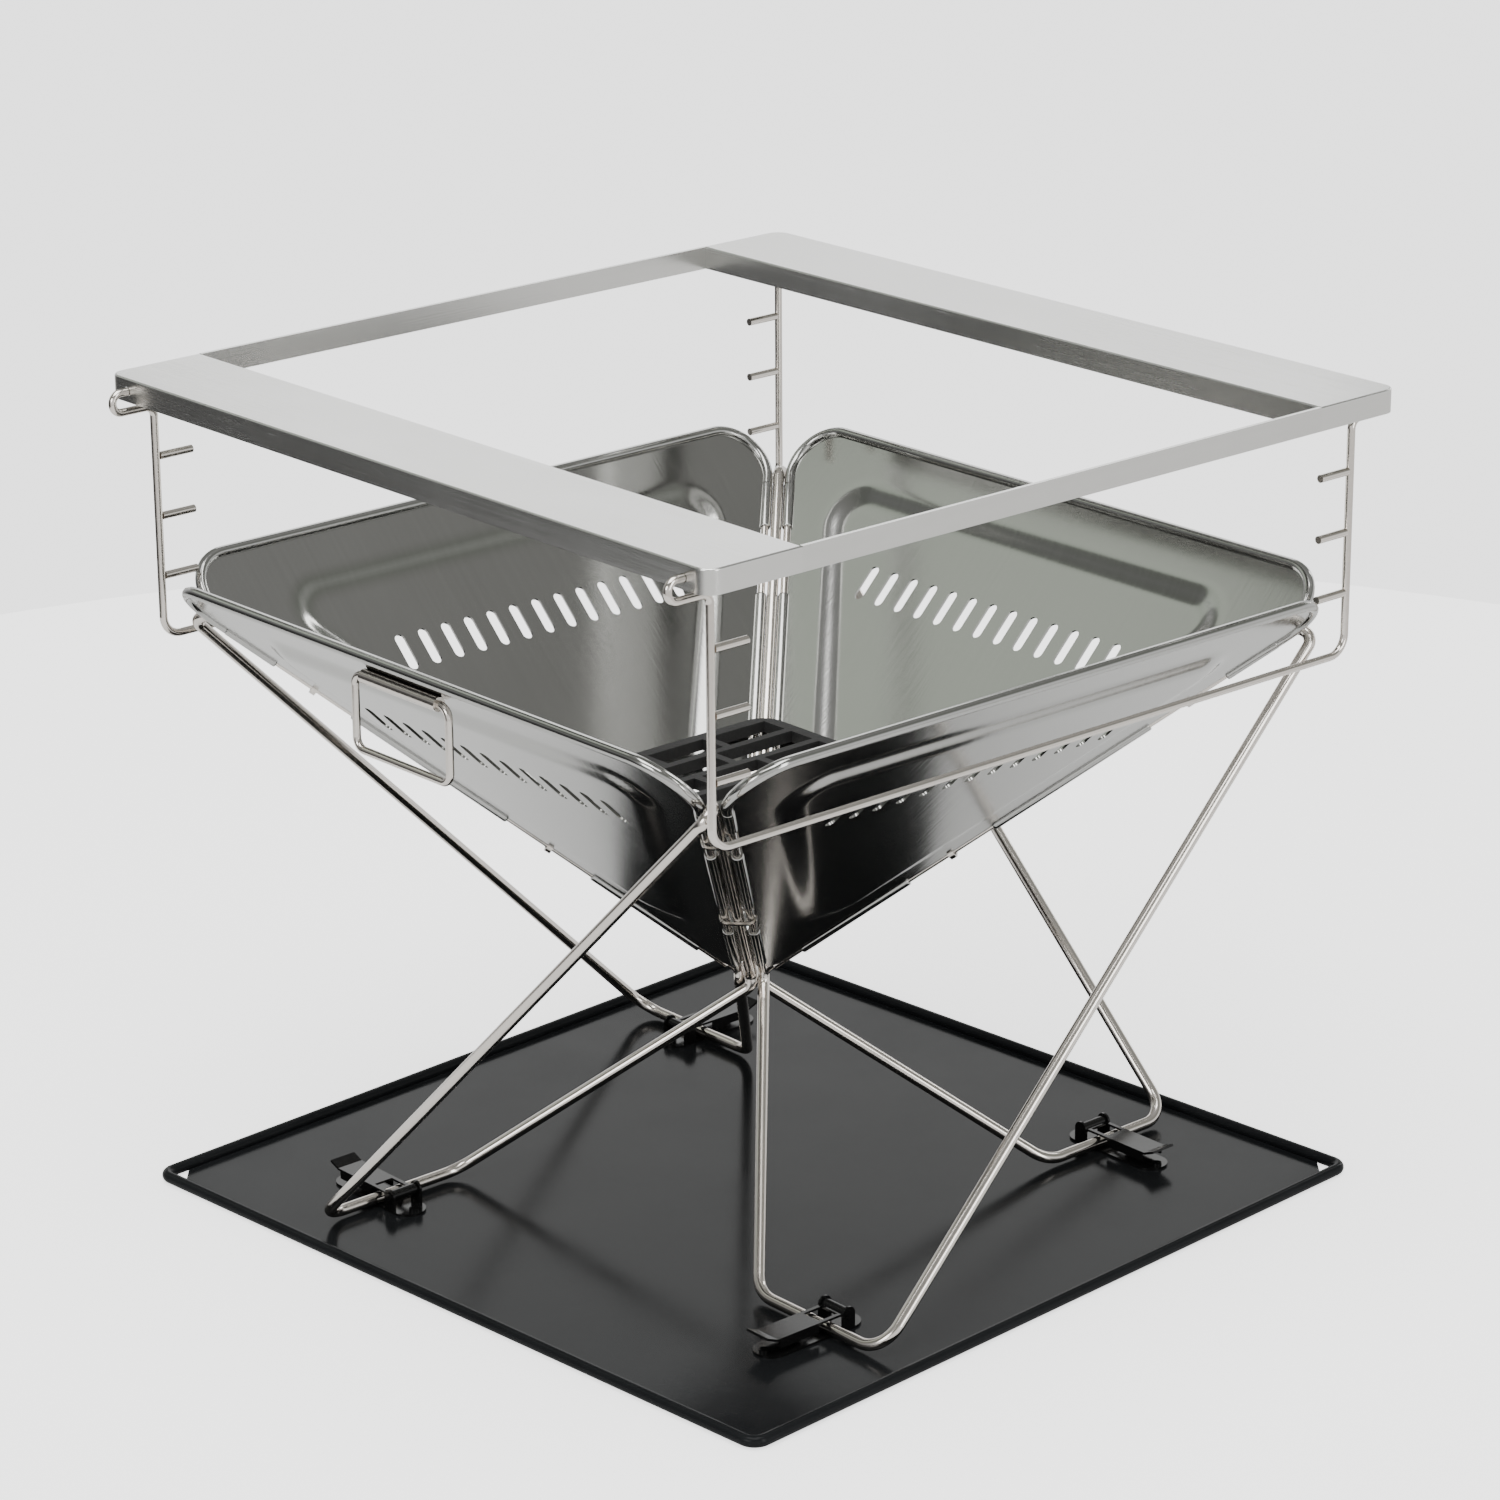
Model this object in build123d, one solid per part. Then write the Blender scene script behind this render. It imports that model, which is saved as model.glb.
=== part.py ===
from build123d import *

import os
from math import sqrt

# A folding stainless fire pit: a four-panel inverted pyramid on crossed wire legs,
# clipped to a black ground tray, with a lift-off grill frame and a cast charcoal grate.
#
# Frame: origin at the bottom centre of the ground tray, +Z up, millimetres.
# -Y is the side with the carry handle, and the two wide shelves run along X.

os.makedirs("parts", exist_ok=True)

# ---- driving dimensions ----------------------------------------------------
# Fire bowl: four flat panels at 45 degrees, so height and half width grow together.
APEX_Z = 107.0
RIM_HALF = 216.0
SHEET = 1.2
EDGE_WIRE_R = 2.0
ROLL_R = 2.9
KNUCKLE_R = 3.1
WIRE_BORE_R = 2.1
EDGE_INSET = 7.1
RIM_CORNER_R = 22.0
PANEL_FOOT = 22.0
EMBOSS_DEPTH = 3.0
EMBOSS_TOP_INSET = 25.5
EMBOSS_SIDE_INSET = 31.5
EMBOSS_BOTTOM = 76.0
EMBOSS_CORNER_R = 20.0
EMBOSS_BAND = 9.0
VENT_COUNT = 13
VENT_PITCH = 15.0
VENT_LENGTH = 21.0
VENT_WIDTH = 6.0
VENT_Y = 227.5

# Stations along a bowl corner, measured from the apex.
KNUCKLE_SPANS = ((34.0, 100.0), (152.0, 246.0), (292.0, 322.0))
LINK_STATIONS = (126.0, 269.0)
WINDOW_WIDTH = 6.0
LINK_LENGTH = 16.5
LINK_HEIGHT = 6.2
LINK_WALL = 1.1
LINK_THICKNESS = 3.0

# Leg wires: each one hinges on a bowl corner and runs to a foot near the next corner.
LEG_R = 3.0
PIN_DROP = -3.55
PIN_LOW = 10.0
PIN_HIGH = 330.0
LEG_TOP = 342.0
LEG_TOP_DROP = 4.2
HUB_Z = 108.0
FOOT_X = 99.0
FOOT_OUT = 204.0
FOOT_IN = 116.0
LEG_BENDS = (6.0, 6.0, 20.0, 15.0, 6.0, 8.0)

# Ground tray.
TRAY_HALF = 216.0
TRAY_SHEET = 1.5
TRAY_WIRE_R = 3.0
TRAY_CORNER_R = 7.0
TRAY_CORNER_CUT = 14.0
TRAY_TURN = 3.6

# Toggle latches that clip the feet to the tray. "Out" is away from the bowl's axis.
LATCH_WIDTH = 18.0
LATCH_SHEET = 1.2
LATCH_BASE_IN = -24.0
LATCH_BASE_OUT = 40.0
LATCH_PIN_OUT = -11.0
LATCH_PIN_R = 1.5
LATCH_PIN_Z = 8.4
LATCH_EAR_R = 4.0
LEVER_OUT = 34.0
LEVER_WIDTH = 15.0
LEVER_ARM = 2.0
LEVER_WINDOW = (-6.5, 5.5)
LEVER_GAP = 0.8
LEVER_FLANGE = 4.0
RIVET_R = 2.4
RIVET_HEIGHT = 1.2
RIVET_STATIONS = (-19.5, 36.0)
RIVET_SHANK_R = 1.5
LEVER_BARREL_R = 2.8
LEVER_BORE_R = 1.56
FLANGE_START = 7.0
LIP_LENGTH = 7.0
LIP_ANGLE = 22.0
PIN_HEAD = 0.8

# Charcoal grate.
GRATE_HALF = 90.0
GRATE_BOTTOM = 202.2
GRATE_THICK = 6.0
GRATE_CORNER_R = 12.0
GRATE_BORDER = 7.0
GRATE_BAR = 5.0
GRATE_ROWS = 8
GRATE_COLUMNS = 4

# Carry handle on the -Y panel.
HANDLE_X = -10.0
HANDLE_TUBE_LENGTH = 58.0
HANDLE_TUBE_R = 3.6
HANDLE_BORE_R = 2.06
HANDLE_WIRE_R = 2.0
HANDLE_DROP = 38.0
HANDLE_HALF = 36.0
HANDLE_BEND_R = 7.0
HANDLE_BELOW_RIM = 13.0

# Grill frame: two wide shelves along X, joined by two flat bars along Y.
FRAME_HALF_X = 225.0
FRAME_HALF_Y = 222.0
FRAME_TOP = 425.0
SHELF_DEPTH = 55.0
SHELF_SKIRT = 12.0
SHELF_CORNER_R = 8.0
SHELF_FOLD_R = 1.0
BAR_THICK = 2.0

# Grill racks: a U of wire under each flat bar, hooked into the shelves, with pegs.
RACK_X = 209.0
RACK_Y = 207.0
RACK_R = 2.0
RACK_BOTTOM = 289.0
RACK_TOP = 408.5
HOOK_Z = 418.5
HOOK_OUT = 9.0
HOOK_IN = 8.0
HOOK_HOLE_R = 2.4
RACK_BENDS = (4.9, 4.9, 5.0, 10.0, 10.0, 5.0, 4.9, 4.9)
PEG_LENGTH = 19.5
PEG_HEIGHTS = (320.5, 351.5, 382.5)

SQ2 = sqrt(2)
RIM_Z = APEX_Z + RIM_HALF
SLOPE_LENGTH = RIM_HALF * SQ2
CORNER_DIRECTION = Vector(1, -1, 1).normalized()
CORNER_DOWN = Vector(1, -1, -2).normalized()


# ---- helpers ---------------------------------------------------------------
def save(name, shape):
    """Writes one sub-part and prints its volume."""
    export_step(shape, f"parts/{name}.step")
    print(f"{name}: {shape.volume:.0f} mm3, {len(shape.solids())} solid(s)")


def turned(shape, quarter):
    """The shape turned about the bowl's axis by a number of quarter turns."""
    return Rot(0, 0, 90 * quarter) * shape


def wire_rod(points, bends, radius):
    """A round wire along straight runs joined by tangent bends."""
    path = FilletPolyline(*points, radius=list(bends))
    start = path.position_at(0)
    return sweep(Plane(start, z_dir=path.tangent_at(0)) * Circle(radius), path)


def one(shape):
    """The single solid of a finished boolean."""
    solids = shape.solids()
    assert len(solids) == 1, f"expected one solid, found {len(solids)}"
    return solids[0]


def group(shapes):
    """Separate solids that share one node."""
    return Compound(children=[s for shape in shapes for s in shape.solids()])


# ---- fire bowl -------------------------------------------------------------
# The -Y panel's own plane: x along the rim, y up the slope from the apex,
# and its normal points down and out of the bowl.
PANEL_PLANE = Plane(
    origin=(0, 0, APEX_Z), x_dir=(1, 0, 0), z_dir=Vector(0, -1, -1).normalized()
)
CORNER_LENGTH = sqrt(RIM_HALF**2 + SLOPE_LENGTH**2)
EDGE_X = RIM_HALF / CORNER_LENGTH
EDGE_Y = SLOPE_LENGTH / CORNER_LENGTH


def edge_half_width(y, inset):
    """Half the panel's width at a height up the slope, inside its slanted edges."""
    return (y * EDGE_X - inset) / EDGE_Y


def panel_outline(inset, top, bottom):
    """The corners of a panel shape, from the bottom left and round by the rim."""
    low, high = edge_half_width(bottom, inset), edge_half_width(top, inset)
    return [(-low, bottom), (-high, top), (high, top), (low, bottom)]


def edge_wire_path(bottom):
    """The centreline of the wire inside a panel's rolled edges."""
    points = panel_outline(EDGE_INSET, SLOPE_LENGTH, bottom)
    return [(x, y, 0) for x, y in points]


def edge_point(station, side, inset=EDGE_INSET):
    """A point beside a panel's slanted edge, at a distance along the bowl's corner."""
    return Vector(
        side * (station * EDGE_X - inset * EDGE_Y), station * EDGE_Y + inset * EDGE_X, 0
    )


def edge_tube(start, end, side, outer):
    """A short tube round the edge wire, between two stations of a bowl corner."""
    low, high = edge_point(start, side), edge_point(end, side)
    return Plane(low, z_dir=high - low) * Cylinder(
        outer, (high - low).length, align=(Align.CENTER, Align.CENTER, Align.MIN)
    )


def edge_window(start, end, side):
    """The opening beside a corner link, along a panel's slanted edge."""
    low, high = edge_point(start, side), edge_point(end, side)
    plane = Plane((low + high) / 2, x_dir=high - low, z_dir=(0, 0, 1))
    return plane * Box((high - low).length, 2 * WINDOW_WIDTH, 4 * KNUCKLE_R)


def emboss_face(inset, depth):
    """The pressed field's outline: the panel's own shape with rounded corners."""
    points = panel_outline(
        EMBOSS_SIDE_INSET + inset,
        SLOPE_LENGTH - EMBOSS_TOP_INSET - inset,
        EMBOSS_BOTTOM + inset,
    )
    outline = make_face(Polyline(*points, close=True))
    return Pos(0, 0, depth) * fillet(outline.vertices(), EMBOSS_CORNER_R - inset)


def pressed_field(bottom):
    """The sloped block of the pressed field, from one face of the sheet outwards."""
    faces = [emboss_face(0, bottom), emboss_face(EMBOSS_BAND, bottom + EMBOSS_DEPTH)]
    return loft(faces, ruled=True)


def vent_slots():
    """A row of round-ended air slots."""
    slot = Rot(0, 0, 90) * SlotOverall(VENT_LENGTH, VENT_WIDTH)
    cut = extrude(slot, EMBOSS_DEPTH + 2 * SHEET)
    middle = (VENT_COUNT - 1) / 2
    return [Pos((i - middle) * VENT_PITCH, VENT_Y) * cut for i in range(VENT_COUNT)]


def bowl_panel():
    """A pressed sheet with rolled edges, flat in its own plane."""
    outline = make_face(
        Polyline(*panel_outline(EDGE_INSET + 2.4, SLOPE_LENGTH - 2.4, PANEL_FOOT), close=True)
    )
    top = outline.vertices().sort_by(Axis.Y)[-2:]
    sheet = extrude(fillet(top, RIM_CORNER_R - 2.4), SHEET)
    sheet = sheet + pressed_field(SHEET) - pressed_field(0)
    for slot in vent_slots():
        sheet -= slot
    last = KNUCKLE_SPANS[-1][1]
    rim_points = [
        tuple(edge_point(last, -1)),
        *edge_wire_path(PANEL_FOOT)[1:3],
        tuple(edge_point(last, 1)),
    ]
    sheet += wire_rod(rim_points, (RIM_CORNER_R, RIM_CORNER_R), ROLL_R)
    for side in (-1, 1):
        for start, end in KNUCKLE_SPANS:
            sheet += edge_tube(start, end, side, KNUCKLE_R)
        for (_, start), (end, _) in zip(KNUCKLE_SPANS, KNUCKLE_SPANS[1:]):
            sheet -= edge_window(start, end, side)
    bore = wire_rod(
        edge_wire_path(PANEL_FOOT - 6), (RIM_CORNER_R, RIM_CORNER_R), WIRE_BORE_R
    )
    return one(sheet - bore)


def bowl_edge_wire():
    """The wire inside a panel's rolled rim and knuckles."""
    return wire_rod(
        edge_wire_path(PANEL_FOOT - 4), (RIM_CORNER_R, RIM_CORNER_R), EDGE_WIRE_R
    )


def corner_point(station, drop):
    """A point on the front corner's line, moved down and outwards."""
    return Vector(0, 0, APEX_Z) + CORNER_DIRECTION * station + CORNER_DOWN * drop


def corner_links():
    """The flat loops that tie two panels to the leg wire between them."""
    loops = []
    outer = SlotOverall(LINK_LENGTH + 2 * LINK_WALL, LINK_HEIGHT + 2 * LINK_WALL)
    loop = extrude(outer - SlotOverall(LINK_LENGTH, LINK_HEIGHT), LINK_THICKNESS / 2, both=True)
    for station in LINK_STATIONS:
        centre = corner_point(station, PIN_DROP)
        loops.append(Plane(centre, x_dir=(1, 1, 0), z_dir=CORNER_DIRECTION) * loop)
    return group(loops)


# ---- legs ------------------------------------------------------------------
FOOT_Z = TRAY_SHEET + LATCH_SHEET + LEG_R


def leg_wire():
    """A closed wire: up the front right corner, out to a foot and back to the hub.
    It is swept in two halves that meet in the middle of the pin and of the foot."""
    top = corner_point(LEG_TOP, LEG_TOP_DROP)
    pin_high = corner_point(PIN_HIGH, PIN_DROP)
    pin_low = corner_point(PIN_LOW, PIN_DROP)
    hub = Vector(pin_low.X, pin_low.Y, HUB_Z)
    foot_in = Vector(-FOOT_X, -FOOT_IN, FOOT_Z)
    foot_out = Vector(-FOOT_X, -FOOT_OUT, FOOT_Z)
    mid_pin, mid_foot = (pin_high + pin_low) / 2, (foot_in + foot_out) / 2
    inner = wire_rod([mid_pin, pin_low, hub, foot_in, mid_foot], LEG_BENDS[:3], LEG_R)
    outer = wire_rod([mid_foot, foot_out, top, pin_high, mid_pin], LEG_BENDS[3:], LEG_R)
    return one(inner + outer)


# ---- ground tray -----------------------------------------------------------
def tray_sheet():
    """The tray's sheet, with its corners cut off inside the rim wire."""
    half = TRAY_HALF - TRAY_WIRE_R + 1
    sheet = Box(2 * half, 2 * half, TRAY_SHEET, align=(Align.CENTER, Align.CENTER, Align.MIN))
    sheet = chamfer(sheet.edges().filter_by(Axis.Z), TRAY_CORNER_CUT)
    return Rot(0, 0, TRAY_TURN) * sheet


def tray_rim():
    """The wire round the tray."""
    outer = RectangleRounded(2 * TRAY_HALF, 2 * TRAY_HALF, TRAY_CORNER_R)
    path = outer.wires()[0].moved(Location((0, 0, TRAY_WIRE_R)))
    section = Plane(path.position_at(0), z_dir=path.tangent_at(0)) * Circle(TRAY_WIRE_R)
    return Rot(0, 0, TRAY_TURN) * one(sweep(section, path))


# ---- latches ---------------------------------------------------------------
# Built with x pointing out, away from the bowl, and y along the foot wire.
# The foot wire rests on the base plate, and the lever closes over it.
LATCH_X = (FOOT_OUT + FOOT_IN) / 2
LATCH_PLACE = Pos(LATCH_X, -FOOT_X, TRAY_SHEET) * Rot(0, 0, -90)
LEVER_Z = LATCH_SHEET + 2 * LEG_R + LEVER_GAP
EAR_Y = (LATCH_WIDTH - LATCH_SHEET) / 2


def strip(start, end, width, bottom, thick):
    """A flat strip along x."""
    return Pos((start + end) / 2, 0, bottom + thick / 2) * Box(end - start, width, thick)


def cross_rod(x, z, radius, length):
    """A round rod or bore across the latch."""
    return Pos(x, 0, z) * Rot(90, 0, 0) * Cylinder(radius, length)


def rivet_holes():
    """The two holes through the latch base and the tray."""
    return [Pos(x, 0, 0) * Cylinder(RIVET_SHANK_R, 8) for x in RIVET_STATIONS]


def latch_base():
    """The base plate with two ears for the lever's pin."""
    base = strip(LATCH_BASE_IN, LATCH_BASE_OUT, LATCH_WIDTH, 0, LATCH_SHEET)
    base = fillet(base.edges().filter_by(Axis.Z), LATCH_WIDTH / 2 - 0.1)
    for side in (-1, 1):
        upright = Pos(LATCH_PIN_OUT, side * EAR_Y, LATCH_PIN_Z / 2) * Box(
            2 * LATCH_EAR_R, LATCH_SHEET, LATCH_PIN_Z
        )
        cap = Pos(0, side * EAR_Y) * cross_rod(
            LATCH_PIN_OUT, LATCH_PIN_Z, LATCH_EAR_R, LATCH_SHEET
        )
        base += upright + cap
    base -= cross_rod(LATCH_PIN_OUT, LATCH_PIN_Z, LATCH_PIN_R, 2 * LATCH_WIDTH)
    for hole in rivet_holes():
        base -= hole
    return one(base)


def latch_lever():
    """The lever: a barrel on the pin, two arms over the foot wire, a plate and a lifted lip."""
    barrel = cross_rod(LATCH_PIN_OUT, LATCH_PIN_Z, LEVER_BARREL_R, LEVER_WIDTH)
    plate = strip(LATCH_PIN_OUT, LEVER_OUT, LEVER_WIDTH, LEVER_Z, LATCH_SHEET)
    lip = (
        Pos(LEVER_OUT - 0.2, 0, LEVER_Z)
        * Rot(0, -LIP_ANGLE, 0)
        * Box(LIP_LENGTH, LEVER_WIDTH, LATCH_SHEET, align=(Align.MIN, Align.CENTER, Align.MIN))
    )
    lever = barrel + plate + lip
    for side in (-1, 1):
        flange = Pos(0, side * (LEVER_WIDTH - LATCH_SHEET) / 2) * strip(
            FLANGE_START, LEVER_OUT - 2, LATCH_SHEET, LEVER_Z - LEVER_FLANGE, LEVER_FLANGE
        )
        lever += flange
    lever -= strip(*LEVER_WINDOW, LEVER_WIDTH - 2 * LEVER_ARM, LEVER_Z - 1, LATCH_SHEET + 2)
    return one(lever - cross_rod(LATCH_PIN_OUT, LATCH_PIN_Z, LEVER_BORE_R, 2 * LATCH_WIDTH))


def latch_pin():
    """The pin across the ears, with a small head at each end."""
    length = LATCH_WIDTH + 2 * PIN_HEAD
    pin = cross_rod(LATCH_PIN_OUT, LATCH_PIN_Z, LATCH_PIN_R, length)
    for side in (-1, 1):
        pin += Pos(0, side * (length - PIN_HEAD) / 2) * cross_rod(
            LATCH_PIN_OUT, LATCH_PIN_Z, 1.5 * LATCH_PIN_R, PIN_HEAD
        )
    return one(pin)


def latch_rivets():
    """The rivets that hold the base to the tray."""
    rivets = []
    for x in RIVET_STATIONS:
        head = Pos(x, 0, LATCH_SHEET + RIVET_HEIGHT / 2) * Cylinder(RIVET_R, RIVET_HEIGHT)
        shank_length = TRAY_SHEET + LATCH_SHEET
        shank = Pos(x, 0, LATCH_SHEET - shank_length / 2) * Cylinder(
            RIVET_SHANK_R, shank_length
        )
        rivets.append(head + shank)
    return group(rivets)


# ---- grate and handle ------------------------------------------------------
def charcoal_grate():
    """A cast square with rows of staggered slots along y."""
    size = 2 * GRATE_HALF
    grate = Pos(0, 0, GRATE_BOTTOM) * Box(
        size, size, GRATE_THICK, align=(Align.CENTER, Align.CENTER, Align.MIN)
    )
    grate = fillet(grate.edges().filter_by(Axis.Z), GRATE_CORNER_R)
    field = size - 2 * GRATE_BORDER
    row_pitch = (field + GRATE_BAR) / GRATE_ROWS
    slots = []
    for row in range(GRATE_ROWS):
        columns = GRATE_COLUMNS - row % 2
        pitch = (field + GRATE_BAR) / columns
        x = (row - (GRATE_ROWS - 1) / 2) * row_pitch
        for column in range(columns):
            y = (column - (columns - 1) / 2) * pitch
            slots.append(
                Pos(x, y, GRATE_BOTTOM + GRATE_THICK / 2)
                * Box(row_pitch - GRATE_BAR, pitch - GRATE_BAR, 2 * GRATE_THICK)
            )
    return one(grate - slots)


HANDLE_UP = SLOPE_LENGTH - HANDLE_BELOW_RIM
HANDLE_OUT = SHEET + HANDLE_TUBE_R
HANDLE_CENTRE = PANEL_PLANE.from_local_coords(Vector(HANDLE_X, HANDLE_UP, HANDLE_OUT))


def handle_tube():
    """The sleeve welded below the rim that the handle turns in."""
    rod = Rot(0, 90, 0) * Cylinder(HANDLE_TUBE_R, HANDLE_TUBE_LENGTH)
    bore = Rot(0, 90, 0) * Cylinder(HANDLE_BORE_R, 2 * HANDLE_TUBE_LENGTH)
    return Pos(*HANDLE_CENTRE) * one(rod - bore)


def handle_bail():
    """The wire handle, hanging from its sleeve."""
    half, drop = HANDLE_HALF, HANDLE_DROP
    points = [(2, 0, 0), (half, 0, 0), (half, 0, -drop), (-half, 0, -drop), (-half, 0, 0), (-2, 0, 0)]
    rod = wire_rod(points, (HANDLE_BEND_R - 1.1,) * 4, HANDLE_WIRE_R)
    core = Rot(0, 90, 0) * Cylinder(HANDLE_WIRE_R, 6)
    return Pos(*HANDLE_CENTRE) * one(rod + core)


# ---- grill frame and racks -------------------------------------------------
def shelf():
    """The -Y shelf: a sheet with a skirt folded down all round."""
    inner_y = -FRAME_HALF_Y + SHELF_DEPTH
    middle = Pos(0, (inner_y - FRAME_HALF_Y) / 2, FRAME_TOP - SHELF_SKIRT / 2)
    body = middle * Box(2 * FRAME_HALF_X, SHELF_DEPTH, SHELF_SKIRT)
    outer = body.edges().filter_by(Axis.Z).group_by(Axis.Y)[0]
    body = fillet(outer, SHELF_CORNER_R)
    top_edges = body.faces().sort_by(Axis.Z)[-1].edges()
    body = fillet(top_edges, SHELF_FOLD_R)
    hollow = middle * Pos(0, 0, -SHEET) * Box(
        2 * FRAME_HALF_X - 2 * SHEET, SHELF_DEPTH - 2 * SHEET, SHELF_SKIRT
    )
    hollow = fillet(
        hollow.edges().filter_by(Axis.Z).group_by(Axis.Y)[0], SHELF_CORNER_R - SHEET
    )
    body -= hollow
    for x in (-RACK_X, RACK_X):
        body -= Pos(x, -FRAME_HALF_Y, HOOK_Z) * Rot(90, 0, 0) * Cylinder(HOOK_HOLE_R, 10)
    return one(body)


def flat_bar():
    """The +X bar between the two shelves."""
    length = 2 * (FRAME_HALF_Y - SHELF_DEPTH)
    return Pos(FRAME_HALF_X - BAR_THICK / 2, 0, FRAME_TOP - SHELF_SKIRT / 2) * Box(
        BAR_THICK, length, SHELF_SKIRT
    )


def grill_rack():
    """The +X rack: a U of wire with a hook at each top end."""
    front = [
        (RACK_X, -FRAME_HALF_Y + HOOK_IN, HOOK_Z),
        (RACK_X, -FRAME_HALF_Y - HOOK_OUT, HOOK_Z),
        (RACK_X, -FRAME_HALF_Y - HOOK_OUT, RACK_TOP),
        (RACK_X, -RACK_Y, RACK_TOP),
        (RACK_X, -RACK_Y, RACK_BOTTOM),
    ]
    back = [(x, -y, z) for x, y, z in reversed(front)]
    return one(wire_rod(front + back, RACK_BENDS, RACK_R))


def rack_pegs():
    """The pegs welded to the +X rack, which carry a grill at three heights."""
    pegs = []
    for side in (-1, 1):
        for z in PEG_HEIGHTS:
            start = Vector(RACK_X, side * (RACK_Y - RACK_R), z)
            pegs.append(
                Plane(start, z_dir=(0, -side, 0))
                * Cylinder(RACK_R, PEG_LENGTH, align=(Align.CENTER, Align.CENTER, Align.MIN))
            )
    return group(pegs)


# ---- assembly --------------------------------------------------------------
SIDES = ("front", "right", "back", "left")
CORNERS = ("front_right", "back_right", "back_left", "front_left")


def bowl_parts():
    """The four panels, their edge wires and the links at the corners."""
    panel, wire, links = bowl_panel(), bowl_edge_wire(), corner_links()
    for quarter, side in enumerate(SIDES):
        save(f"{side}_panel", turned(PANEL_PLANE * panel, quarter))
        save(f"{side}_panel_wire", turned(PANEL_PLANE * wire, quarter))
    for quarter, corner in enumerate(CORNERS):
        save(f"{corner}_corner_links", turned(links, quarter))


def stand_parts():
    """The four leg wires."""
    leg = leg_wire()
    for quarter, corner in enumerate(CORNERS):
        save(f"{corner}_leg_wire", turned(leg, quarter))


def latch_parts():
    """A latch at each foot: base, lever, and its pin and rivets."""
    base, lever, pin, rivets = latch_base(), latch_lever(), latch_pin(), latch_rivets()
    for quarter, foot in enumerate(SIDES):
        save(f"{foot}_latch_base", turned(LATCH_PLACE * base, quarter))
        save(f"{foot}_latch_lever", turned(LATCH_PLACE * lever, quarter))
    save("latch_pins", group(turned(LATCH_PLACE * pin, quarter) for quarter in range(4)))
    save("latch_rivets", group(turned(LATCH_PLACE * rivets, quarter) for quarter in range(4)))


def tray_parts():
    """The ground tray with its rivet holes, and its rim wire."""
    sheet = tray_sheet()
    for quarter in range(4):
        for hole in rivet_holes():
            sheet -= turned(LATCH_PLACE * hole, quarter)
    save("ground_tray", one(sheet))
    save("tray_rim_wire", tray_rim())


def frame_parts():
    """The grill frame's shelves and bars, and the racks that hold it up."""
    side_shelf, bar = shelf(), flat_bar()
    rack, pegs = grill_rack(), rack_pegs()
    for quarter, side in ((0, "front"), (2, "back")):
        save(f"{side}_shelf", turned(side_shelf, quarter))
    for quarter, side in ((0, "right"), (2, "left")):
        save(f"{side}_frame_bar", turned(bar, quarter))
        save(f"{side}_grill_rack", turned(rack, quarter))
        save(f"{side}_rack_pegs", turned(pegs, quarter))


bowl_parts()
stand_parts()
latch_parts()
tray_parts()
frame_parts()
save("charcoal_grate", charcoal_grate())
save("handle_tube", handle_tube())
save("handle_bail", handle_bail())
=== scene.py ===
from math import cos, pi, radians, sin, tan

import bpy
from mathutils import Matrix, Vector


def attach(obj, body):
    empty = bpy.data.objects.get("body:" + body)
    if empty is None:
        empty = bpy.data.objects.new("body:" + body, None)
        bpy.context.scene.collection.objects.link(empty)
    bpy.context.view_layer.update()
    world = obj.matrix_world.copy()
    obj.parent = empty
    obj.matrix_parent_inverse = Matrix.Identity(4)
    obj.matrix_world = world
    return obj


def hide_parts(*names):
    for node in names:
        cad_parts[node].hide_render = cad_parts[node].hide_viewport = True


# Looks for the folding fire pit: materials, detailed bowl panels, studio and camera.

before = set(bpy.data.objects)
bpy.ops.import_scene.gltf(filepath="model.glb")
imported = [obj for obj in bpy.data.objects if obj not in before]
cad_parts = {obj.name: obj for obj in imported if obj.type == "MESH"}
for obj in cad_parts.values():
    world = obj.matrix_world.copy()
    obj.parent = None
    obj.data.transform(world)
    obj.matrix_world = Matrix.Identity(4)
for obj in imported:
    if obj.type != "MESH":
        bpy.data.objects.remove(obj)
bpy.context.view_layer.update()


# ---- materials ---------------------------------------------------------------
def node(tree, kind, **inputs):
    """A shader node with its unlinked inputs set."""
    made = tree.nodes.new(kind)
    for key, value in inputs.items():
        made.inputs[key.replace("_", " ")].default_value = value
    return made


def span(tree, value, low, high, start=0.0, end=1.0):
    """A value mapped from start..end to low..high."""
    made = tree.nodes.new("ShaderNodeMapRange")
    tree.links.new(value, made.inputs["Value"])
    for key, number in (("From Min", start), ("From Max", end), ("To Min", low), ("To Max", high)):
        made.inputs[key].default_value = number
    return made.outputs["Result"]


def noise(tree, stretch, scale, detail):
    """Noise in the object's own space, stretched per axis."""
    space = tree.nodes.new("ShaderNodeTexCoord").outputs["Object"]
    mapped = tree.nodes.new("ShaderNodeMapping")
    mapped.inputs["Scale"].default_value = stretch
    tree.links.new(space, mapped.inputs["Vector"])
    made = node(tree, "ShaderNodeTexNoise", Scale=scale, Detail=detail, Roughness=0.6)
    tree.links.new(mapped.outputs["Vector"], made.inputs["Vector"])
    return made.outputs["Fac"]


def tint(tree, factor, low, high):
    """A colour between two, by a factor."""
    made = tree.nodes.new("ShaderNodeMix")
    made.data_type = "RGBA"
    made.inputs[6].default_value = (*low, 1)
    made.inputs[7].default_value = (*high, 1)
    tree.links.new(factor, made.inputs[0])
    return made.outputs[2]


def bump(tree, shader, height, strength, distance):
    """Bump on a shader."""
    made = node(tree, "ShaderNodeBump", Strength=strength, Distance=distance)
    tree.links.new(height, made.inputs["Height"])
    tree.links.new(made.outputs["Normal"], shader.inputs["Normal"])


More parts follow.
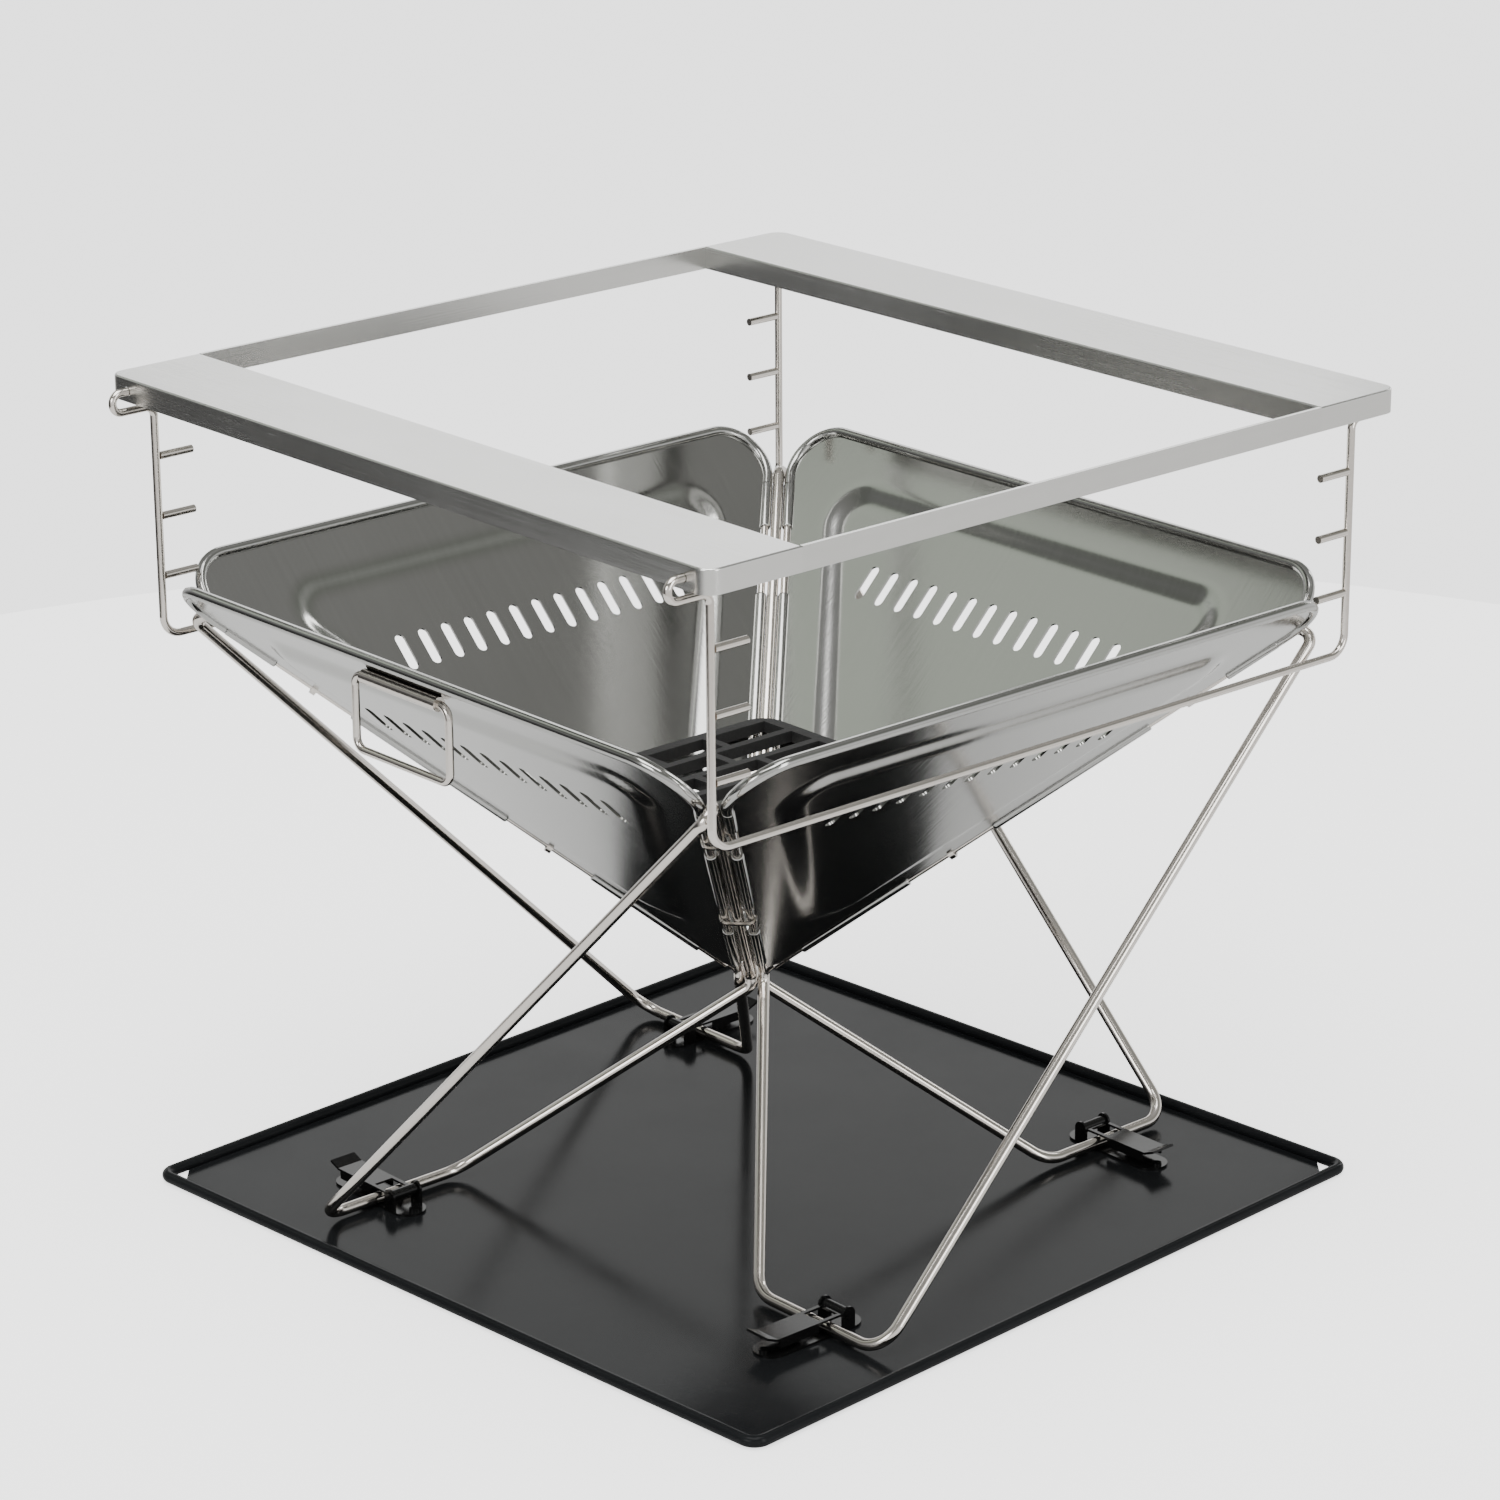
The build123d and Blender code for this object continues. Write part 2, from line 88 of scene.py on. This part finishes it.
def material(name, **inputs):
    """A new material and its principled shader."""
    made = bpy.data.materials.new(name)
    made.use_nodes = True
    shader = made.node_tree.nodes["Principled BSDF"]
    for key, value in inputs.items():
        shader.inputs[key.replace("_", " ")].default_value = value
    return made, made.node_tree, shader


def steel(name, light, dark, rough, stretch, scale, strength=0.06):
    """Stainless steel with a rolled or brushed grain, faint smudges and uneven gloss."""
    made, tree, shader = material(name, Metallic=1.0)
    grain = noise(tree, stretch, scale, 4.0)
    smudge = noise(tree, (1, 1, 1), 9.0, 4.0)
    mixed = node(tree, "ShaderNodeMath")
    mixed.operation = "MULTIPLY_ADD"
    tree.links.new(grain, mixed.inputs[0])
    mixed.inputs[1].default_value = 0.5
    tree.links.new(span(tree, smudge, 0.0, 0.5), mixed.inputs[2])
    blend = mixed.outputs["Value"]
    tree.links.new(tint(tree, blend, dark, light), shader.inputs["Base Color"])
    tree.links.new(span(tree, blend, *rough, 0.25, 0.75), shader.inputs["Roughness"])
    bump(tree, shader, grain, strength, 0.0004)
    return made


def black(name, colour, rough, scale, strength, distance, specular=0.5):
    """A black finish with a fine texture and worn, dusty patches."""
    made, tree, shader = material(name, Specular_IOR_Level=specular)
    fine = noise(tree, (1, 1, 1), scale, 2.0)
    patch = noise(tree, (1, 1, 1), 14.0, 5.0)
    dusty = tuple(c * 1.8 + 0.002 for c in colour)
    tree.links.new(tint(tree, patch, colour, dusty), shader.inputs["Base Color"])
    tree.links.new(span(tree, patch, *rough, 0.3, 0.7), shader.inputs["Roughness"])
    bump(tree, shader, fine, strength, distance)
    return made


# Grain that runs along X, along Y, or no way in particular.
ALONG_X, ALONG_Y = (2, 420, 420), (420, 2, 420)
SHEET_LIGHT, SHEET_DARK, SHEET_ROUGH = (0.42, 0.42, 0.405), (0.35, 0.35, 0.338), (0.10, 0.17)
SHELF = steel("brushed_shelf", (0.68, 0.68, 0.66), (0.62, 0.62, 0.60), (0.20, 0.30), ALONG_X, 3.0)
BAR = steel("brushed_bar", (0.68, 0.68, 0.66), (0.60, 0.60, 0.58), (0.18, 0.28), ALONG_Y, 3.0)
BOWL_X = steel("bowl_sheet_x", SHEET_LIGHT, SHEET_DARK, SHEET_ROUGH, (3, 160, 3), 3.0)
BOWL_Y = steel("bowl_sheet_y", SHEET_LIGHT, SHEET_DARK, SHEET_ROUGH, (160, 3, 3), 3.0)
WIRE = steel(
    "polished_wire", (0.70, 0.66, 0.61), (0.60, 0.56, 0.52), (0.10, 0.2), (60, 60, 60), 6.0, 0.03
)
TRAY = black(
    "tray_powder_coat", (0.006, 0.0065, 0.007), (0.13, 0.2), 900.0, 0.05, 0.0003, specular=0.06
)
LATCH = black(
    "latch_finish", (0.0025, 0.0025, 0.0025), (0.10, 0.2), 600.0, 0.04, 0.0003, specular=0.25
)
IRON = black("cast_iron", (0.012, 0.012, 0.012), (0.45, 0.7), 500.0, 0.5, 0.0006)


def finish_for(name):
    """The material of a CAD node, by its name."""
    if name == "charcoal_grate":
        return IRON
    if name in ("ground_tray", "tray_rim_wire"):
        return TRAY
    if "latch" in name:
        return LATCH
    if name.endswith("_shelf"):
        return SHELF
    if name.endswith("_bar"):
        return BAR
    if name in ("front_panel", "back_panel"):
        return BOWL_Y
    if name.endswith("_panel"):
        return BOWL_X
    return WIRE


for name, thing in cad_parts.items():
    thing.data.materials.clear()
    thing.data.materials.append(finish_for(name))


# ---- bowl panels ---------------------------------------------------------------
# Sizes in millimetres, in the panel's own plane: u along the rim, v up the slope from
# the apex, n out of the bowl. They match the CAD panel that each piece stands for.
MM = 0.001
SHEET = 1.2
SLOPE = 216.0 * 2**0.5
EDGE_U, EDGE_V = (1 / 3) ** 0.5, (2 / 3) ** 0.5
EDGE_INSET, TUCK, FOOT = 7.1, 2.4, 22.0
ROLL_R, KNUCKLE_R, CORNER_R = 2.9, 3.1, 22.0
KNUCKLES = ((34.0, 100.0), (152.0, 246.0), (292.0, 322.0))
FIELD_TOP, FIELD_SIDE, FIELD_BOTTOM = SLOPE - 25.5, 31.5, 76.0
FIELD_R, FIELD_BAND, FIELD_SPILL, FIELD_DEPTH = 20.0, 9.0, 4.5, 3.0
VENTS, VENT_PITCH, VENT_V, VENT_LENGTH, VENT_WIDTH = 13, 15.0, 227.5, 21.0, 6.0
WINDOW_WIDTH, CUT_DEPTH = 6.0, 8.0
APEX = 107.0
ROWS, COLUMNS = 96, 150
BEND_STEPS, ROLL_SIDES, KNUCKLE_SIDES, SLOT_STEPS = 16, 28, 24, 8
# The crease along a rolled edge: where it lies, half its width and how deep it is.
CREASE_AT, CREASE_HALF, CREASE_DEPTH = 3.9, 0.28, 0.10
# A knuckle's softened end: distance from the end and share of the radius.
KNUCKLE_END = ((0, 0.86), (0.25, 0.95), (0.7, 0.99), (1.2, 1.0))


def half_width(v, inset):
    """Half the panel's width at a height up the slope."""
    return (v * EDGE_U - inset) / EDGE_V


def to_row(u, v, n, quarter):
    """A point of a panel in the row frame, in metres."""
    x, y, z = u, -(v + n) / 2**0.5, APEX + (v - n) / 2**0.5
    for _ in range(quarter):
        x, y = -y, x
    return (x * MM, y * MM, z * MM)


def smooth(t):
    """A soft step from 0 to 1."""
    t = min(max(t, 0.0), 1.0)
    return t * t * t * (t * (6 * t - 15) + 10)


def field_distance(u, v):
    """Distance inside the pressed field's rounded outline."""
    r = FIELD_R
    side = v * EDGE_U - FIELD_SIDE - abs(u) * EDGE_V - r
    top, bottom = FIELD_TOP - v - r, v - FIELD_BOTTOM - r
    inside = min(side, top, bottom)
    if inside >= 0:
        return inside + r
    outline = [
        (half_width(FIELD_BOTTOM + r, FIELD_SIDE + r), FIELD_BOTTOM + r),
        (half_width(FIELD_TOP - r, FIELD_SIDE + r), FIELD_TOP - r),
    ]
    points = [(-outline[0][0], outline[0][1]), *outline, (-outline[1][0], outline[1][1])]
    nearest = 1e9
    for (ax, ay), (bx, by) in zip(points, points[1:] + points[:1]):
        dx, dy = bx - ax, by - ay
        t = min(max(((u - ax) * dx + (v - ay) * dy) / (dx * dx + dy * dy), 0), 1)
        nearest = min(nearest, ((u - ax - t * dx) ** 2 + (v - ay - t * dy) ** 2) ** 0.5)
    return r - nearest


def pressed(u, v):
    """How far the sheet is pressed out of its plane, with a soft step round the field."""
    inside = field_distance(u, v) + FIELD_SPILL
    return FIELD_DEPTH * smooth(inside / (FIELD_BAND + 2 * FIELD_SPILL))


def sheet_edge(v):
    """Half the sheet's width, with its top corners rounded."""
    top, inset = SLOPE - TUCK, EDGE_INSET + TUCK
    r = CORNER_R - TUCK
    centre_v = top - r
    centre_u = half_width(centre_v, inset + r)
    if v > centre_v - r * EDGE_U:
        return centre_u + (r * r - (v - centre_v) ** 2) ** 0.5
    return half_width(v, inset)


def grid_sheet():
    """The sheet's inner face as a grid that follows its outline, finer near the rim."""
    top = SLOPE - TUCK
    points, faces = [], []
    for i in range(ROWS + 1):
        t = i / ROWS
        v = FOOT + (top - FOOT) * (1 - (1 - t) ** 1.25)
        width = sheet_edge(min(v, top - 0.001))
        for j in range(COLUMNS + 1):
            u = width * (2 * j / COLUMNS - 1)
            points.append((u, v, pressed(u, v)))
    for i in range(ROWS):
        for j in range(COLUMNS):
            k = i * (COLUMNS + 1) + j
            faces.append((k, k + 1, k + COLUMNS + 2, k + COLUMNS + 1))
    return points, faces


def thick(points, faces):
    """A closed sheet: the grid, its offset copy and the rim between them."""
    count = len(points)
    back = [(u, v, n + SHEET) for u, v, n in points]
    shell = [tuple(reversed(f)) for f in faces] + [tuple(i + count for i in f) for f in faces]
    border = (
        list(range(COLUMNS + 1))
        + [(i + 1) * (COLUMNS + 1) + COLUMNS for i in range(ROWS)]
        + [ROWS * (COLUMNS + 1) + j for j in range(COLUMNS - 1, -1, -1)]
        + [i * (COLUMNS + 1) for i in range(ROWS - 1, 0, -1)]
    )
    for a, b in zip(border, border[1:] + border[:1]):
        shell.append((a, b, b + count, a + count))
    return points + back, shell


def edge_point(station, side):
    """A point of the edge wire's line beside a bowl corner."""
    return (
        side * (station * EDGE_U - EDGE_INSET * EDGE_V), station * EDGE_V + EDGE_INSET * EDGE_U
    )


def slot_prism(u):
    """A round-ended slot cutter, its length up the slope."""
    r, half = VENT_WIDTH / 2, (VENT_LENGTH - VENT_WIDTH) / 2
    ring = []
    for k in range(2 * SLOT_STEPS + 2):
        turn = pi * (k - (k > SLOT_STEPS)) / SLOT_STEPS
        end = half if k <= SLOT_STEPS else -half
        ring.append((u + r * cos(turn), VENT_V + r * sin(turn) + end))
    return prism(ring, -2, FIELD_DEPTH + 3 * SHEET)


def prism(ring, low, high):
    """A closed prism over a ring of points in the panel's plane."""
    n = len(ring)
    points = [(u, v, low) for u, v in ring] + [(u, v, high) for u, v in ring]
    faces = [tuple(range(n - 1, -1, -1)), tuple(range(n, 2 * n))]
    faces += [(i, (i + 1) % n, (i + 1) % n + n, i + n) for i in range(n)]
    return points, faces


def window_prism(start, end, side):
    """The cutter for the opening between two knuckles."""
    (u0, v0), (u1, v1) = edge_point(start, side), edge_point(end, side)
    du, dv = u1 - u0, v1 - v0
    size = (du * du + dv * dv) ** 0.5
    across = (-dv / size * WINDOW_WIDTH * side, du / size * WINDOW_WIDTH * side)
    ring = [
        (u0 - across[0], v0 - across[1]), (u1 - across[0], v1 - across[1]),
        (u1 + across[0], v1 + across[1]), (u0 + across[0], v0 + across[1]),
    ]
    return prism(ring if side < 0 else ring[::-1], -CUT_DEPTH, CUT_DEPTH)


def joined(parts):
    """Several (points, faces) lists as one."""
    points, faces = [], []
    for some_points, some_faces in parts:
        start = len(points)
        points += some_points
        faces += [tuple(i + start for i in f) for f in some_faces]
    return points, faces


def new_object(name, points, faces):
    """An object from mesh data."""
    mesh = bpy.data.meshes.new(name)
    mesh.from_pydata(points, [], faces)
    mesh.update()
    made = bpy.data.objects.new(name, mesh)
    bpy.context.collection.objects.link(made)
    return made


def cut(thing, cutter):
    """thing's mesh less cutter, which is then removed."""
    boolean = thing.modifiers.new("cut", "BOOLEAN")
    boolean.operation, boolean.object, boolean.solver = "DIFFERENCE", cutter, "EXACT"
    boolean.use_self = False
    graph = bpy.context.evaluated_depsgraph_get()
    mesh = bpy.data.meshes.new_from_object(thing.evaluated_get(graph))
    thing.modifiers.clear()
    thing.data = mesh
    bpy.data.objects.remove(cutter)


def rounded(points, radii):
    """Points along straight runs joined by tangent arcs."""
    points = [Vector(p) for p in points]
    out = [points[0]]
    for before, corner, after, r in zip(points, points[1:], points[2:], radii):
        a, b = (before - corner).normalized(), (after - corner).normalized()
        half = a.angle(b) / 2
        reach = r / tan(half)
        centre = corner + (a + b).normalized() * (r / sin(half))
        start, end = corner + a * reach - centre, corner + b * reach - centre
        whole = start.angle(end)
        for k in range(BEND_STEPS + 1):
            t = k / BEND_STEPS
            arc = start * (sin((1 - t) * whole) / sin(whole)) + end * (sin(t * whole) / sin(whole))
            out.append(centre + arc)
    out.append(points[-1])
    return out


def tube_faces(rings, sides):
    """The faces of a closed tube, from its number of rings and the points in each."""
    faces = []
    for i in range(rings - 1):
        for k in range(sides):
            a, b = i * sides + k, i * sides + (k + 1) % sides
            faces.append((a, b, b + sides, a + sides))
    faces.append(tuple(range(sides - 1, -1, -1)))
    faces.append(tuple(range((rings - 1) * sides, rings * sides)))
    return faces


def rolled_edge(path):
    """A closed tube along a path, with the crease of a rolled edge."""
    path = [Vector(p) for p in path]
    points = []
    tangent = (path[1] - path[0]).normalized()
    normal = Vector((0, 0, 1)) - tangent * tangent.z
    normal.normalize()
    for i, p in enumerate(path):
        ahead = path[min(i + 1, len(path) - 1)] - path[max(i - 1, 0)]
        new = ahead.normalized()
        normal = (tangent.rotation_difference(new) @ normal).normalized()
        tangent = new
        side = tangent.cross(normal)
        for k in range(ROLL_SIDES):
            turn = 2 * pi * k / ROLL_SIDES
            r = ROLL_R * creased(turn)
            points.append(tuple(p + normal * (r * cos(turn)) + side * (r * sin(turn))))
    return points, tube_faces(len(path), ROLL_SIDES)


def creased(turn):
    """A rolled edge's section: round, with the crease where the sheet closes on itself."""
    from_crease = abs((turn - CREASE_AT + pi) % (2 * pi) - pi)
    return 1 - CREASE_DEPTH * max(0.0, 1 - from_crease / CREASE_HALF)


def panel_parts():
    """A panel's sheet, cut for the vents and the links, and its rolled edges."""
    sheet = new_object("sheet", *thick(*grid_sheet()))
    cutters = [slot_prism((i - (VENTS - 1) / 2) * VENT_PITCH) for i in range(VENTS)]
    for side in (-1, 1):
        for (_, start), (end, _) in zip(KNUCKLES, KNUCKLES[1:]):
            cutters.append(window_prism(start, end, side))
    cut(sheet, new_object("cutter", *joined(cutters)))
    points = [tuple(v.co) for v in sheet.data.vertices]
    faces = [tuple(p.vertices) for p in sheet.data.polygons]
    bpy.data.objects.remove(sheet)
    last = KNUCKLES[-1][1]
    corner = half_width(SLOPE, EDGE_INSET)
    rim = [
        (*edge_point(last, -1), 0), (-corner, SLOPE, 0), (corner, SLOPE, 0),
        (*edge_point(last, 1), 0),
    ]
    parts = [(points, faces), rolled_edge(rounded(rim, (CORNER_R, CORNER_R)))]
    for side in (-1, 1):
        for start, end in KNUCKLES:
            low, high = Vector((*edge_point(start, side), 0)), Vector((*edge_point(end, side), 0))
            along = (high - low).normalized()
            parts.append(sleeve(low, along, (high - low).length))
    return joined(parts)


def sleeve(low, along, length):
    """A knuckle: a tube with softened ends."""
    stations = [*KNUCKLE_END, (length / 2, 1.0)]
    stations += [(length - s, r) for s, r in reversed(KNUCKLE_END)]
    normal = along.orthogonal().normalized()
    side = along.cross(normal)
    points = []
    for s, r in stations:
        for k in range(KNUCKLE_SIDES):
            turn = 2 * pi * k / KNUCKLE_SIDES
            spoke = normal * cos(turn) + side * sin(turn)
            points.append(tuple(low + along * s + spoke * (r * KNUCKLE_R)))
    return points, tube_faces(len(stations), KNUCKLE_SIDES)


def shade(thing, angle=35):
    """Smooth shading, with edges sharper than an angle kept."""
    for polygon in thing.data.polygons:
        polygon.use_smooth = True
    thing.data.set_sharp_from_angle(angle=radians(angle))


def panels():
    """The four panels."""
    points, faces = panel_parts()
    for quarter, side in enumerate(("front", "right", "back", "left")):
        placed = [to_row(*p, quarter) for p in points]
        made = new_object(f"{side}_bowl_panel", placed, faces)
        made.data.materials.append(finish_for(f"{side}_panel"))
        shade(made)
        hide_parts(f"{side}_panel")
        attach(made, "stand")


panels()


# ---- studio ------------------------------------------------------------------
FLOOR_SIDES, FLOOR_RADIUS = 128, 1.1
ROOM_STRENGTH, BACKDROP_STRENGTH = 1.35, 2.4
# Place on the height ramp, and colour there.
ROOM_STOPS = (
    (0.0, (0.80, 0.79, 0.78)),
    (0.17, (0.95, 0.95, 0.96)),
    (0.40, (0.88, 0.88, 0.88)),
    (0.52, (0.36, 0.37, 0.35)),
    (0.62, (0.22, 0.23, 0.21)),
    (0.78, (0.27, 0.27, 0.26)),
    (1.0, (0.40, 0.40, 0.40)),
)
DARK_CORNER = (-0.66, -0.66, -0.36)
WHITE, FAINT_GREEN = (1, 1, 1), (0.90, 1.0, 0.86)
# Name, place, the point it faces, width, height, power and colour.
SOFTBOXES = (
    ("overhead", (0.3, -0.5, 3.2), (0, 0, 0.2), 2.6, 2.6, 130, WHITE),
    ("left_panel", (-2.6, -1.1, 2.3), (0, 0, 0.2), 0.9, 1.6, 3, FAINT_GREEN),
    ("right_strip", (2.6, 0.2, 1.0), (0, 0, 0.2), 0.7, 2.0, 24, WHITE),
    ("back_strip", (-0.3, 3.0, 1.7), (0, 0, 0.3), 0.35, 1.6, 12, WHITE),
    ("shelf_glow", (-2.27, 1.98, 1.46), (0, 0, 0.4), 1.5, 0.8, 6, WHITE),
    ("camera_side", (0.6, -3.2, 1.6), (0, 0, 0.3), 1.6, 1.2, 40, WHITE),
)


def floor():
    """A round pale floor just under the tray."""
    turns = [2 * pi * k / FLOOR_SIDES for k in range(FLOOR_SIDES)]
    ring = [(FLOOR_RADIUS * cos(turn), FLOOR_RADIUS * sin(turn), 0) for turn in turns]
    made = new_object("floor", ring, [tuple(range(FLOOR_SIDES))])
    made.location.z = -0.0005
    paint, tree, shader = material("floor_paint", Roughness=0.6)
    seen = tree.nodes.new("ShaderNodeLightPath").outputs["Is Camera Ray"]
    tree.links.new(span(tree, seen, 0.15, 1.8, 0.0, 1.0), shader.inputs["Emission Strength"])
    shader.inputs["Emission Color"].default_value = (1, 1, 1, 1)
    shader.inputs["Specular IOR Level"].default_value = 0.1
    patch = noise(tree, (1, 1, 1), 2.0, 2.0)
    tree.links.new(tint(tree, patch, (0.69, 0.69, 0.69), (0.71, 0.71, 0.71)), shader.inputs["Base Color"])
    made.data.materials.append(paint)


def softbox(name, place, aim, width, height, power, colour):
    """A soft rectangular light, out of the camera's sight."""
    data = bpy.data.lights.new(name, "AREA")
    data.shape, data.size, data.size_y = "RECTANGLE", width, height
    data.energy, data.color = power, colour
    made = bpy.data.objects.new(name, data)
    made.location = place
    made.rotation_euler = (Vector(aim) - Vector(place)).to_track_quat("-Z", "Y").to_euler()
    made.visible_camera = False
    bpy.context.collection.objects.link(made)


def room_colour(tree):
    """What the metal reflects: bright low down, dimmer above, with one dark corner."""
    space = tree.nodes.new("ShaderNodeTexCoord").outputs["Generated"]
    split = tree.nodes.new("ShaderNodeSeparateXYZ")
    tree.links.new(space, split.inputs["Vector"])
    ramp = tree.nodes.new("ShaderNodeValToRGB")
    tree.links.new(span(tree, split.outputs["Z"], 0.0, 1.0, -0.2, 1.0), ramp.inputs["Fac"])
    ramp.color_ramp.elements[0].color = (*ROOM_STOPS[0][1], 1)
    ramp.color_ramp.elements[-1].color = (*ROOM_STOPS[-1][1], 1)
    for at, colour in ROOM_STOPS[1:-1]:
        ramp.color_ramp.elements.new(at).color = (*colour, 1)
    toward = tree.nodes.new("ShaderNodeVectorMath")
    toward.operation = "DOT_PRODUCT"
    tree.links.new(space, toward.inputs[0])
    toward.inputs[1].default_value = DARK_CORNER
    scaled = tree.nodes.new("ShaderNodeVectorMath")
    scaled.operation = "SCALE"
    tree.links.new(ramp.outputs["Color"], scaled.inputs[0])
    dark = span(tree, toward.outputs["Value"], 1.0, 0.07, 0.45, 0.9)
    tree.links.new(dark, scaled.inputs["Scale"])
    return scaled.outputs["Vector"]


def studio():
    """A white backdrop, a room for the metal to reflect, and the softboxes."""
    world = bpy.data.worlds.new("studio")
    world.use_nodes = True
    tree = world.node_tree
    tree.nodes.clear()
    room = node(tree, "ShaderNodeBackground", Strength=ROOM_STRENGTH)
    tree.links.new(room_colour(tree), room.inputs["Color"])
    seen = node(tree, "ShaderNodeBackground", Strength=BACKDROP_STRENGTH, Color=(1, 1, 1, 1))
    mix = tree.nodes.new("ShaderNodeMixShader")
    tree.links.new(tree.nodes.new("ShaderNodeLightPath").outputs["Is Camera Ray"], mix.inputs[0])
    tree.links.new(room.outputs[0], mix.inputs[1])
    tree.links.new(seen.outputs[0], mix.inputs[2])
    out = tree.nodes.new("ShaderNodeOutputWorld")
    tree.links.new(mix.outputs[0], out.inputs["Surface"])
    bpy.context.scene.world = world
    for box in SOFTBOXES:
        softbox(*box)


# ---- camera ------------------------------------------------------------------
AZIMUTH, ELEVATION, ROLL = radians(48.61), radians(19.32), radians(-0.39)
DISTANCE, TARGET, LENS, SENSOR = 2.5628, Vector((-0.07399, 0.06509, 0.19867)), 117.6, 36.0


def camera():
    """The camera, at the solved viewing angle."""
    back = Vector((sin(AZIMUTH) * cos(ELEVATION), -cos(AZIMUTH) * cos(ELEVATION), sin(ELEVATION)))
    right = Vector((cos(AZIMUTH), sin(AZIMUTH), 0))
    up = back.cross(right)
    rolled_right = right * cos(ROLL) + up * sin(ROLL)
    rolled_up = up * cos(ROLL) - right * sin(ROLL)
    data = bpy.data.cameras.new("camera")
    data.lens, data.sensor_width = LENS, SENSOR
    data.clip_start, data.clip_end = 0.1, 200
    made = bpy.data.objects.new("camera", data)
    turn = Matrix((rolled_right, rolled_up, back)).transposed().to_4x4()
    made.matrix_world = Matrix.Translation(TARGET + back * DISTANCE) @ turn
    bpy.context.collection.objects.link(made)
    bpy.context.scene.camera = made


floor()
studio()
camera()
